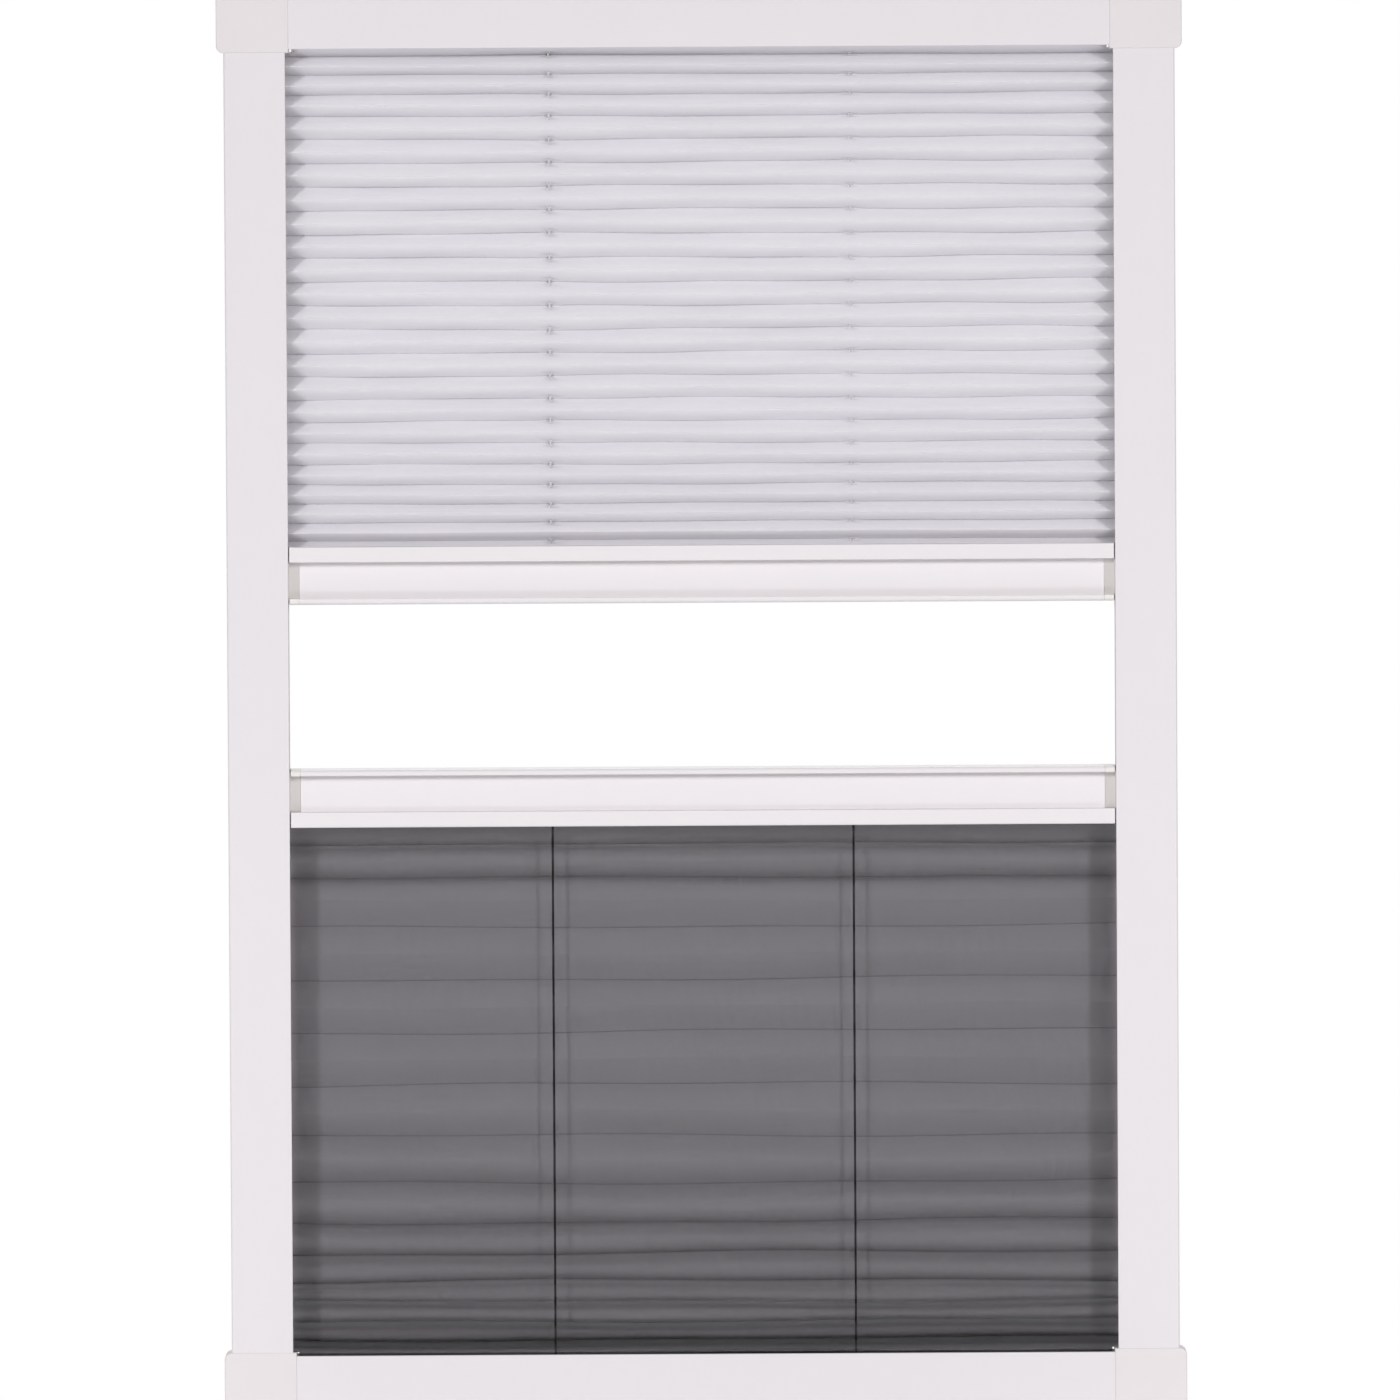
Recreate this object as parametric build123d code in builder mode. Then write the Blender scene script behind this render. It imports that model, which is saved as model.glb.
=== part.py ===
"""Framed window screen with two pleated fabrics.

A white sun blind hangs from the top rail and a black insect mesh stands on the bottom rail. Each fabric
ends in a handle rail that slides up and down in the side rails. X is to the right, the front looks along
-Y, Z is up, and the origin is under the middle of the frame. All lengths are in millimetres.
"""

import os
from math import ceil, sqrt

from build123d import *

# Frame, over the corner pieces
frame_width = 800.0
frame_height = 1200.0
frame_depth = 33.0
corner_overhang = 6.0
corner_lap = 3.0
corner_proud = 1.0

# Rail extrusion, the same for all four sides
rail_width = 51.0
rail_wall = 1.4
chamber_width = 22.0
rail_outer_radius = 2.0
rail_inner_radius = 0.8
strip_rib = 1.0

# Brush seal and its slot in the flange tips of the side rails
brush_slot_width = 5.0
brush_slot_depth = 1.2
brush_rib = 1.0
brush_mouth = 3.0
brush_play = 0.1
brush_proud = 0.9

# Corner piece
corner_outer_radius = 6.0
corner_edge_radius = 1.2
corner_wall = 4.0
corner_seat = 14.0
corner_front = 5.0
corner_rib = 3.0
spigot_length = 32.0
spigot_wall = 2.6
spigot_play = 0.2
spigot_chamfer = 1.0

# Handle rail, measured from its meeting edge to its fabric edge
handle_height = 48.0
handle_depth = 30.0
handle_wall = 1.4
handle_side_gap = 1.0
handle_lip = 5.0
handle_hood = 12.8
grip_depth = 12.0
fabric_slot = 4.0
handle_edge_radius = 1.2
lip_radius = 3.0
grip_edge_radius = 0.6
handle_notch = 8.0
blind_handle_z = 682.0
mesh_handle_z = 544.7

# End cap and guide shoe of a handle rail
cap_play = 0.2
cap_set_back = 0.6
cap_plug_length = 14.0
shoe_play = 0.3
shoe_end_gap = 1.5
shoe_margin = 3.0
shoe_radius = 2.0

# Fabric strips
strip_height = 7.0
strip_play = 0.2
strip_slot = 1.0
strip_slot_depth = 5.0
strip_end_gap = 1.0
handle_strip_height = 6.0

# Fabrics
fabric_tail = 3.5
fabric_side_gap = 10.0
fabric_end_gap = 1.0
blind_thickness = 0.35
blind_panel = 20.0
blind_open_shares = (
    0.41, 0.40, 0.48, 0.49, 0.50, 0.50, 0.49, 0.49, 0.47, 0.45, 0.40, 0.38,
)
mesh_thickness = 0.3
mesh_panel = 22.9
mesh_open_shares = (
    0.47, 0.65, 0.97, 0.95, 0.97, 0.96, 0.93, 0.83, 0.69, 0.55, 0.49, 0.34, 0.36, 0.33, 0.32, 0.31,
)

# Cords and their anchors
cord_diameter = 1.6
cord_hole = 2.6
cord_spacing = 250.0
cord_turn_radius = 4.0
cord_level_share = 1 / 3
blind_cord_y = 6.0
mesh_cord_y = 1.0
cord_pair_step = 2.0
side_cord_gap = 5.0
anchor_head = 4.0
anchor_head_height = 2.0
anchor_shank = 3.0
anchor_length = 10.0
anchor_play = 0.1

# One overrun serves all cuts
overrun = 5.0

# Places worked out from the sizes above
corner_size = corner_overhang + rail_width + corner_lap
rail_depth = frame_depth - corner_proud
rail_front = corner_proud - frame_depth / 2
mid_y = rail_front + rail_depth / 2
rail_outer_x = frame_width / 2 - corner_overhang
rail_inner_x = rail_outer_x - rail_width
web_x = rail_outer_x - chamber_width
corner_inner_x = frame_width / 2 - corner_size
side_rail_length = frame_height - 2 * corner_size
end_rail_length = 2 * corner_inner_x
channel_width = rail_depth - 2 * rail_wall
brush_height = brush_slot_depth + brush_rib
brush_gap = channel_width - 2 * (brush_height + brush_proud)
corner_face_z = (corner_size, frame_height - corner_size)
web_z = (corner_overhang + chamber_width, frame_height - corner_overhang - chamber_width)
handle_half = rail_inner_x - handle_side_gap
notch_x = handle_half - handle_notch
hood_base = handle_height - handle_hood
cord_level = cord_level_share * handle_height
grip_floor_y = mid_y - handle_depth / 2 + grip_depth
fabric_half = web_x - fabric_side_gap
tail_half = corner_inner_x - strip_end_gap - fabric_end_gap
side_cord_x = web_x - side_cord_gap
cord_x = cord_spacing / 2
cord_radius = cord_diameter / 2
blind_bottom_z = blind_handle_z + handle_height
mesh_top_z = mesh_handle_z - handle_height
blind_top_z = web_z[1] - strip_height
mesh_bottom_z = web_z[0] + strip_height

os.makedirs("parts", exist_ok=True)


def save(part, name):
    """Label a finished piece and write it under its node name."""
    part.label = name
    export_step(part, f"parts/{name}.step")


def span_box(x_ends, y_ends, z_ends, mode=Mode.ADD):
    """A box between two ends on each axis, given in any order."""
    ends = (x_ends, y_ends, z_ends)
    middle = [(end[0] + end[1]) / 2 for end in ends]
    size = [abs(end[1] - end[0]) for end in ends]
    with Locations(tuple(middle)):
        Box(*size, mode=mode)


def cord_y(base, side):
    """Depth of the cord that leaves a handle on this side; the pair crosses a step apart."""
    return mid_y + base - side * cord_pair_step / 2


def pleat_cord(base, side):
    """Place of the cord in the pleats on this side: it crosses to the other end of the handle."""
    return (side * cord_x, cord_y(base, -side))


# Rails: a closed chamber outside, and an open channel towards the window


def rail(plane, length):
    """One length of the extrusion, with its section drawn inwards from the outer edge."""
    floor = chamber_width
    block = brush_slot_width + 2 * brush_rib
    rib_place = floor + strip_height + strip_play
    with BuildPart() as piece:
        with BuildSketch(plane):
            Rectangle(rail_width, rail_depth, align=(Align.MIN, Align.MIN))
            with Locations((rail_wall, rail_wall)):
                Rectangle(
                    chamber_width - 2 * rail_wall, channel_width,
                    align=(Align.MIN, Align.MIN), mode=Mode.SUBTRACT,
                )
            with Locations((floor, rail_wall)):
                Rectangle(
                    rail_width, channel_width, align=(Align.MIN, Align.MIN), mode=Mode.SUBTRACT,
                )
            for flange, inward in ((rail_wall, 1), (rail_depth - rail_wall, -1)):
                with Locations((rib_place + strip_rib / 2, flange + inward * strip_rib / 2)):
                    Rectangle(strip_rib, strip_rib)
                with Locations((rail_width - block / 2, flange + inward * brush_height / 2)):
                    Rectangle(block, brush_height)
                with Locations((rail_width - block / 2, flange + inward * brush_slot_depth / 2)):
                    Rectangle(brush_slot_width, brush_slot_depth, mode=Mode.SUBTRACT)
                with Locations((rail_width - block / 2, flange + inward * brush_height / 2)):
                    Rectangle(brush_mouth, brush_height, mode=Mode.SUBTRACT)
        extrude(amount=length)
        along = piece.edges().filter_by(Axis(plane.origin, plane.z_dir))
        front = along.group_by(Axis.Y)[0]
        across = front.sort_by(lambda edge: (edge.center() - plane.origin).dot(plane.x_dir))
        fillet(across[0], radius=rail_outer_radius)
        front = piece.edges().filter_by(Axis(plane.origin, plane.z_dir)).group_by(Axis.Y)[0]
        across = front.sort_by(lambda edge: (edge.center() - plane.origin).dot(plane.x_dir))
        fillet(across[-1], radius=rail_inner_radius)
    return piece.part


side_start = corner_face_z[0]
rail_places = {
    "left_side_rail": ((-rail_outer_x, rail_front, side_start), (1, 0, 0), (0, 0, 1), side_rail_length),
    "right_side_rail": (
        (rail_outer_x, rail_front, side_start + side_rail_length), (-1, 0, 0), (0, 0, -1), side_rail_length,
    ),
    "top_rail": (
        (-corner_inner_x, rail_front, frame_height - corner_overhang), (0, 0, -1), (1, 0, 0), end_rail_length,
    ),
    "bottom_rail": (
        (corner_inner_x, rail_front, corner_overhang), (0, 0, 1), (-1, 0, 0), end_rail_length,
    ),
}
for name, (origin, inward, along, length) in rail_places.items():
    save(rail(Plane(origin=origin, x_dir=inward, z_dir=along), length), name)


# Corner pieces: ribbed mouldings with a spigot into the chamber of each rail


def corner(side, level):
    """One corner; side is -1 left or 1 right, level is 0 at the bottom or 1 at the top."""
    up = 1 - 2 * level
    outer_z = level * frame_height
    outer_x = side * frame_width / 2
    back = frame_depth / 2
    pocket = (corner_size - corner_wall - corner_seat - corner_rib) / 2
    pocket_middle = corner_wall + pocket + corner_rib / 2
    chamber_middle = corner_overhang + chamber_width / 2
    spigot = (
        chamber_width - 2 * rail_wall - 2 * spigot_play,
        channel_width - 2 * spigot_play,
    )
    with BuildPart() as piece:
        span_box(
            (outer_x, outer_x - side * corner_size), (-back, back), (outer_z, outer_z + up * corner_size),
        )
        upright = piece.edges().filter_by(Axis.Y)
        inner = upright.sort_by_distance((0, 0, frame_height / 2))[0]
        fillet([edge for edge in upright if edge is not inner], radius=corner_outer_radius)
        fillet(piece.faces().sort_by(Axis.Y)[0].edges(), radius=corner_edge_radius)
        with BuildSketch(Plane.XZ.offset(-back)):
            with Locations((outer_x - side * pocket_middle, outer_z + up * pocket_middle)):
                with GridLocations(pocket + corner_rib, pocket + corner_rib, 2, 2):
                    Rectangle(pocket, pocket)
        extrude(amount=frame_depth - corner_front, mode=Mode.SUBTRACT)
        for plane in (
            Plane(
                origin=(outer_x - side * chamber_middle, mid_y, outer_z + up * corner_size),
                x_dir=(1, 0, 0), z_dir=(0, 0, up),
            ),
            Plane(
                origin=(outer_x - side * corner_size, mid_y, outer_z + up * chamber_middle),
                x_dir=(0, 0, 1), z_dir=(-side, 0, 0),
            ),
        ):
            with BuildSketch(plane):
                Rectangle(*spigot)
            extrude(amount=spigot_length)
            tip = piece.faces().sort_by(Axis(plane.origin, plane.z_dir))[-1]
            chamfer(tip.edges(), length=spigot_chamfer)
            with BuildSketch(plane):
                Rectangle(spigot[0] - 2 * spigot_wall, spigot[1] - 2 * spigot_wall)
            extrude(amount=spigot_length, mode=Mode.SUBTRACT)
        anchor_y = cord_y(mesh_cord_y if level else blind_cord_y, side)
        with BuildSketch(
            Plane(
                origin=(side * side_cord_x, anchor_y, outer_z + up * corner_size),
                x_dir=(1, 0, 0), z_dir=(0, 0, -up),
            )
        ):
            Circle(anchor_shank / 2 + anchor_play)
        extrude(amount=anchor_length + anchor_play, mode=Mode.SUBTRACT)
    return piece.part


def anchor(side, level):
    """Turned plug that holds a side cord in its corner: a flat head on a shank."""
    up = 1 - 2 * level
    seat = corner_face_z[level]
    anchor_y = cord_y(mesh_cord_y if level else blind_cord_y, side)
    with BuildPart() as piece:
        with BuildSketch(
            Plane(origin=(side * side_cord_x, anchor_y, seat), x_dir=(1, 0, 0), z_dir=(0, 0, up))
        ) as base:
            Circle(anchor_head / 2)
        extrude(amount=anchor_head_height)
        with BuildSketch(base.workplanes[0]):
            Circle(anchor_shank / 2)
        extrude(amount=-anchor_length)
    return piece.part


for level, height_name in ((1, "top"), (0, "bottom")):
    for side, side_name in ((-1, "left"), (1, "right")):
        save(corner(side, level), f"{height_name}_{side_name}_corner")
        fabric_name = "mesh" if level else "blind"
        save(anchor(side, level), f"{fabric_name}_{side_name}_cord_anchor")


# Brush seals: a backing strip in each slot, with the pile standing out of its mouth


def brush_seals(side):
    """The front and the back seal of one side rail."""
    middle = side * (rail_inner_x + brush_slot_width / 2 + brush_rib)
    backing = brush_slot_width - 2 * brush_play
    pile = brush_mouth - 2 * brush_play
    ends = (corner_face_z[0] + strip_end_gap, corner_face_z[1] - strip_end_gap)
    with BuildPart() as piece:
        for flange, inward in ((rail_front + rail_wall, 1), (rail_front + rail_depth - rail_wall, -1)):
            foot = flange + inward * (brush_slot_depth - brush_play)
            span_box((middle - backing / 2, middle + backing / 2), (flange, foot), ends)
            tip = flange + inward * (brush_height + brush_proud)
            span_box((middle - pile / 2, middle + pile / 2), (flange, tip), ends)
    return piece.part


for side, side_name in ((-1, "left"), (1, "right")):
    save(brush_seals(side), f"{side_name}_brush_seals")


# Strips that hold the fabric ends: in the end rails and inside the handle rails


def strip(back_z, face_z, width, half_length, cord_base):
    """A slotted bar; the slot for the fabric opens at face_z, and the cords pass beside it."""
    towards_back = 1 if back_z > face_z else -1
    with BuildPart() as piece:
        span_box(
            (-half_length, half_length), (mid_y - width / 2, mid_y + width / 2), (back_z, face_z),
        )
        span_box(
            (-half_length - overrun, half_length + overrun),
            (mid_y - strip_slot / 2, mid_y + strip_slot / 2),
            (face_z - towards_back * overrun, face_z + towards_back * strip_slot_depth),
            mode=Mode.SUBTRACT,
        )
        for side in (-1, 1):
            with Locations((*pleat_cord(cord_base, side), (back_z + face_z) / 2)):
                Cylinder(cord_hole / 2, abs(back_z - face_z) + overrun, mode=Mode.SUBTRACT)
    return piece.part


end_strip_width = channel_width - 2 * strip_play
end_strip_half = corner_inner_x - strip_end_gap
handle_strip_width = handle_depth - 2 * handle_wall - 2 * strip_play
save(strip(web_z[1], blind_top_z, end_strip_width, end_strip_half, blind_cord_y), "blind_top_strip")
save(strip(web_z[0], mesh_bottom_z, end_strip_width, end_strip_half, mesh_cord_y), "mesh_bottom_strip")

strip_face = handle_height - handle_wall - strip_play
strip_back = strip_face - handle_strip_height
for name, meeting_z, up, base in (
    ("blind_bottom_strip", blind_handle_z, 1, blind_cord_y),
    ("mesh_top_strip", mesh_handle_z, -1, mesh_cord_y),
):
    ends = (meeting_z + up * strip_back, meeting_z + up * strip_face)
    save(strip(*ends, handle_strip_width, tail_half, base), name)


# Handle rails: a slotted hood on the fabric, a grip recess, and a hollow back for the cords


def handle_rail(meeting_z, up, cord_base):
    """One handle extrusion; its section is drawn from the meeting edge to the fabric edge."""
    plane = Plane(origin=(0, mid_y, meeting_z), x_dir=(0, 1, 0), z_dir=(up, 0, 0))
    front = -handle_depth / 2
    floor = front + grip_depth
    with BuildPart() as piece:
        with BuildSketch(plane):
            Rectangle(handle_depth, handle_height, align=(Align.CENTER, Align.MIN))
            with Locations((front, handle_lip)):
                Rectangle(
                    grip_depth, hood_base - handle_lip, align=(Align.MIN, Align.MIN), mode=Mode.SUBTRACT,
                )
            with Locations((front + handle_wall, handle_wall)):
                Rectangle(
                    grip_depth - handle_wall, hood_base - handle_wall,
                    align=(Align.MIN, Align.MIN), mode=Mode.SUBTRACT,
                )
            with Locations((floor + handle_wall, handle_wall)):
                Rectangle(
                    handle_depth - grip_depth - 2 * handle_wall, hood_base - handle_wall,
                    align=(Align.MIN, Align.MIN), mode=Mode.SUBTRACT,
                )
            with Locations((0, hood_base + handle_wall)):
                Rectangle(
                    handle_depth - 2 * handle_wall, handle_hood - 2 * handle_wall,
                    align=(Align.CENTER, Align.MIN), mode=Mode.SUBTRACT,
                )
            with Locations((0, handle_height - handle_wall)):
                Rectangle(
                    fabric_slot, handle_wall, align=(Align.CENTER, Align.MIN), mode=Mode.SUBTRACT,
                )
        extrude(amount=handle_half, both=True)
        for number, radius in enumerate((handle_edge_radius, grip_edge_radius, grip_edge_radius, lip_radius)):
            front_edges = piece.edges().filter_by(Axis.X).group_by(Axis.Y)[0]
            fillet(front_edges.sort_by(Axis.Z, reverse=up > 0)[number], radius=radius)
        pocket_corner = (0, mid_y + front + handle_wall, meeting_z + up * handle_wall)
        pocket_edge = piece.edges().filter_by(Axis.X).sort_by_distance(pocket_corner)[0]
        fillet(pocket_edge, radius=lip_radius - handle_wall)
        for side in (-1, 1):
            span_box(
                (side * notch_x, side * (handle_half + overrun)),
                (mid_y - handle_depth, mid_y + handle_depth),
                (meeting_z - up * overrun, meeting_z + up * hood_base),
                mode=Mode.SUBTRACT,
            )
            with BuildSketch(
                Plane(
                    origin=(*pleat_cord(cord_base, side), meeting_z + up * hood_base),
                    x_dir=(1, 0, 0), z_dir=(0, 0, up),
                )
            ):
                Circle(cord_hole / 2)
            extrude(amount=handle_hood, mode=Mode.SUBTRACT)
    return piece.part


def handle_cap(meeting_z, up, side, cord_base):
    """End cap: a set-back block and foot in the notch, a plug, and the shoe that runs in the rail."""
    inner_x = notch_x + cap_play
    shoe_x = handle_half + shoe_play
    shoe_end = web_x - shoe_end_gap
    block_top = hood_base - cap_play
    front = mid_y - handle_depth / 2
    face = grip_floor_y + cap_set_back
    back = mid_y + handle_depth / 2
    shoe_half = brush_gap / 2 - shoe_play
    groove = cord_hole / 2

    def across(start, end):
        return (side * start, side * end)

    def upward(start, end):
        return (meeting_z + up * start, meeting_z + up * end)

    with BuildPart() as piece:
        span_box(
            across(shoe_x, shoe_end), (mid_y - shoe_half, mid_y + shoe_half),
            upward(shoe_margin, handle_height - shoe_margin),
        )
        tip = piece.faces().sort_by(Axis.X)[-1 if side > 0 else 0]
        fillet(tip.edges(), radius=shoe_radius)
        span_box(across(inner_x, rail_inner_x), (face, back), upward(0, block_top))
        span_box(across(inner_x, handle_half), (front, face), upward(0, handle_lip))
        foot_edges = piece.edges().filter_by(Axis.X).group_by(Axis.Y)[0]
        fillet(foot_edges.sort_by(Axis.Z, reverse=up < 0)[0], radius=lip_radius)
        span_box(
            across(inner_x - cap_plug_length, inner_x),
            (grip_floor_y + handle_wall + cap_play, back - handle_wall - cap_play),
            upward(handle_wall + cap_play, hood_base - handle_wall - cap_play),
        )
        own_y = cord_y(cord_base, side)
        bore_start = inner_x - cap_plug_length - overrun
        span_box(
            across(bore_start, shoe_end + overrun), (own_y - groove, own_y + groove),
            upward(cord_level - groove, cord_level + groove), mode=Mode.SUBTRACT,
        )
        span_box(
            across(side_cord_x - cord_turn_radius - groove, shoe_end + overrun),
            (own_y - groove, own_y + groove), upward(-overrun, cord_level), mode=Mode.SUBTRACT,
        )
        for base in (blind_cord_y, mesh_cord_y):
            pass_y = cord_y(base, side)
            span_box(
                across(side_cord_x - groove, shoe_end + overrun), (pass_y - groove, pass_y + groove),
                upward(-overrun, handle_height + overrun), mode=Mode.SUBTRACT,
            )
    return piece.part


def handle_cords(meeting_z, up, cord_base):
    """Two cords from the fabric edge into the chamber, across to the far end and out along the rail."""
    with BuildPart() as piece:
        for side in (-1, 1):
            depth = cord_y(cord_base, side)
            level = meeting_z + up * cord_level
            with BuildLine() as route:
                FilletPolyline(
                    (-side * cord_x, depth, meeting_z + up * handle_height),
                    (-side * cord_x, depth, level),
                    (side * side_cord_x, depth, level),
                    (side * side_cord_x, depth, meeting_z),
                    radius=cord_turn_radius,
                )
            with BuildSketch(Plane(origin=route.line @ 0, z_dir=route.line % 0)):
                Circle(cord_radius)
            sweep()
    return piece.part


handles = (
    ("blind", blind_handle_z, 1, blind_cord_y),
    ("mesh", mesh_handle_z, -1, mesh_cord_y),
)
for fabric_name, meeting_z, up, base in handles:
    save(handle_rail(meeting_z, up, base), f"{fabric_name}_handle_rail")
    for side, side_name in ((-1, "left"), (1, "right")):
        save(handle_cap(meeting_z, up, side, base), f"{fabric_name}_handle_{side_name}_cap")
    save(handle_cords(meeting_z, up, base), f"{fabric_name}_handle_cords")


# Pleated fabrics: a zigzag sheet between its two strips, slit where the cords pass


def open_share(shares, place):
    """Openness at a place from 0, the top, to 1, the bottom: straight between the middles of the shares."""
    step = min(max(place * len(shares) - 1 / 2, 0), len(shares) - 1)
    above = min(int(step), len(shares) - 2)
    return shares[above] + (shares[above + 1] - shares[above]) * (step - above)


def fold_levels(top, bottom, panel, shares):
    """Heights where one pleat ends and the next begins, at the openness the fabric has along its fall."""
    span = top - bottom
    count = ceil(span * len(shares) / (2 * panel * sum(shares)))
    pitches = [open_share(shares, (i + 1 / 2) / count) for i in range(count)]
    levels = [top]
    for pitch in pitches:
        levels.append(levels[-1] - span * pitch / sum(pitches))
    return levels


def zigzag(levels, panel, top_tail, bottom_tail):
    """Fold points from the upper tail to the lower tail, front and back fold in turn."""
    points = [(mid_y, levels[0] + top_tail), (mid_y, levels[0])]
    for top, bottom in zip(levels, levels[1:]):
        pitch = top - bottom
        half_depth = sqrt(panel**2 - (pitch / 2) ** 2) / 2
        points.append((mid_y - half_depth, top - pitch / 4))
        points.append((mid_y + half_depth, bottom + pitch / 4))
    points.append((mid_y, levels[-1]))
    points.append((mid_y, levels[-1] - bottom_tail))
    return [Vector(*point) for point in points]


def thick_outline(points, thickness):
    """The two faces of a folded sheet: each fold point moved along the mitre to either side."""
    sides = ([], [])
    for i, point in enumerate(points):
        before = (point - points[max(i - 1, 0)]).normalized() if i else None
        after = (points[i + 1] - point).normalized() if i < len(points) - 1 else before
        before = before or after
        along = (before + after).normalized()
        mitre = Vector(-along.Y, along.X)
        reach = thickness / 2 / along.dot(after)
        sides[0].append(point + mitre * reach)
        sides[1].append(point - mitre * reach)
    return sides[0] + sides[1][::-1]


def pleated(levels, panel, thickness, tails, cord_base):
    """The folded sheet, narrowed where it enters its strips and slit along its two cords."""
    outline = thick_outline(zigzag(levels, panel, *tails), thickness)
    high = levels[0] + tails[0]
    low = levels[-1] - tails[1]
    with BuildPart() as piece:
        with BuildSketch(Plane.YZ):
            with BuildLine():
                Polyline(*[(point.X, point.Y) for point in outline], close=True)
            make_face()
        extrude(amount=fabric_half, both=True)
        narrow = (
            (high + overrun, min(levels[0], corner_face_z[1] - fabric_end_gap)),
            (low - overrun, max(levels[-1], corner_face_z[0] + fabric_end_gap)),
        )
        for side in (-1, 1):
            for ends in narrow:
                span_box(
                    (side * tail_half, side * (fabric_half + overrun)),
                    (mid_y - panel, mid_y + panel), ends, mode=Mode.SUBTRACT,
                )
            slit_x, slit_y = pleat_cord(cord_base, side)
            span_box(
                (slit_x - cord_hole / 2, slit_x + cord_hole / 2),
                (slit_y - cord_hole / 2, slit_y + cord_hole / 2), (low - overrun, high + overrun),
                mode=Mode.SUBTRACT,
            )
    return piece.part


rail_tail = fabric_tail
handle_tail = handle_wall + strip_play + fabric_tail
blind_levels = fold_levels(blind_top_z, blind_bottom_z, blind_panel, blind_open_shares)
mesh_levels = fold_levels(mesh_top_z, mesh_bottom_z, mesh_panel, mesh_open_shares)
save(
    pleated(blind_levels, blind_panel, blind_thickness, (rail_tail, handle_tail), blind_cord_y),
    "blind_fabric",
)
save(
    pleated(mesh_levels, mesh_panel, mesh_thickness, (handle_tail, rail_tail), mesh_cord_y),
    "insect_mesh",
)


# Straight cords: through the pleats, and along the side rails to their anchors


def straight_cords(places, ends):
    """One upright cord at each place, between two heights."""
    with BuildPart() as piece:
        for place in places:
            with Locations((*place, (ends[0] + ends[1]) / 2)):
                Cylinder(cord_radius, abs(ends[1] - ends[0]))
    return piece.part


anchor_top_z = corner_face_z[0] + anchor_head_height
anchor_foot_z = corner_face_z[1] - anchor_head_height
for fabric_name, base, pleat_ends, side_ends in (
    ("blind", blind_cord_y, (blind_bottom_z, web_z[1]), (anchor_top_z, blind_handle_z)),
    ("mesh", mesh_cord_y, (web_z[0], mesh_top_z), (mesh_handle_z, anchor_foot_z)),
):
    crossing = [pleat_cord(base, side) for side in (-1, 1)]
    upright = [(side * side_cord_x, cord_y(base, side)) for side in (-1, 1)]
    save(straight_cords(crossing, pleat_ends), f"{fabric_name}_cords")
    save(straight_cords(upright, side_ends), f"{fabric_name}_side_cords")
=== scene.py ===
"""Looks of the framed window screen: a pleated sun blind above, a pleated insect mesh below.

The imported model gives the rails, corners, handles, caps, strips and anchors. The two fabrics, the straight
cords and the brush seals are made here. Metres, X to the right, the front looks along -Y, Z is up.
"""

import bpy
import numpy as np
from mathutils import Matrix, Vector


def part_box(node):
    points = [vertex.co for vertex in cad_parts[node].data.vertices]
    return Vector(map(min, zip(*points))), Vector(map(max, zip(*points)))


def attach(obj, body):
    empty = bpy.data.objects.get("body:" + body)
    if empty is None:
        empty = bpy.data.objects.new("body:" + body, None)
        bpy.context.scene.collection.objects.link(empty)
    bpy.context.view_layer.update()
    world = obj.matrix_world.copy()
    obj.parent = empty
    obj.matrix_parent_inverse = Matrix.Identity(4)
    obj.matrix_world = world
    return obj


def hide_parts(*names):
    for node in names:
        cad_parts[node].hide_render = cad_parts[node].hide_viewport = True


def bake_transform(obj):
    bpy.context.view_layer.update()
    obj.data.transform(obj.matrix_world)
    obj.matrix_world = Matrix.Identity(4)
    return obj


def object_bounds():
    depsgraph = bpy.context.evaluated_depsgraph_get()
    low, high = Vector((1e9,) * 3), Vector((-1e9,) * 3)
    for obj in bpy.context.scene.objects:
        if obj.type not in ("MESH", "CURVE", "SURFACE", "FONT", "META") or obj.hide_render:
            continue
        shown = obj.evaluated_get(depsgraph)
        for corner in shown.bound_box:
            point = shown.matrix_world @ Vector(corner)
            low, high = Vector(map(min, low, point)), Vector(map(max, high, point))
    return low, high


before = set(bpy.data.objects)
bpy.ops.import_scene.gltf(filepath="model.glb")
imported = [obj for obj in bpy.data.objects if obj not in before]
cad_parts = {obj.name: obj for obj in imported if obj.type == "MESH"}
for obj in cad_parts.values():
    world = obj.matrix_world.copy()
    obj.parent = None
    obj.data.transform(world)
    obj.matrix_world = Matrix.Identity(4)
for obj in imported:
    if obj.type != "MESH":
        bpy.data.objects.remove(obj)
cad_box = [list(corner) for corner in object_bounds()]


# Rails: one aluminium extrusion, cut to four lengths, powder-coated white and held by the corner pieces.
# The cured coat is a satin film with a fine orange-peel skin, and its tone drifts a little along a bar.

frame_white = (0.800, 0.762, 0.789)
frame_white_thin = (0.782, 0.743, 0.771)


def blank_finish(name):
    """A new node material and its surface shader."""
    finish = bpy.data.materials.new(name)
    finish.use_nodes = True
    return finish, finish.node_tree.nodes["Principled BSDF"]


def put(finish, kind, settings, feeds):
    """Add one shader node; a feed is a plain value or the socket that drives the input."""
    made = finish.node_tree.nodes.new("ShaderNode" + kind)
    for key, value in settings.items():
        setattr(made, key, value)
    for key, value in feeds.items():
        drive(finish, made.inputs[key], value)
    return made


def drive(finish, socket, value):
    """Set a socket to a plain value, or link it to the socket given."""
    if isinstance(value, bpy.types.NodeSocket):
        finish.node_tree.links.new(value, socket)
    else:
        socket.default_value = value


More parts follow.
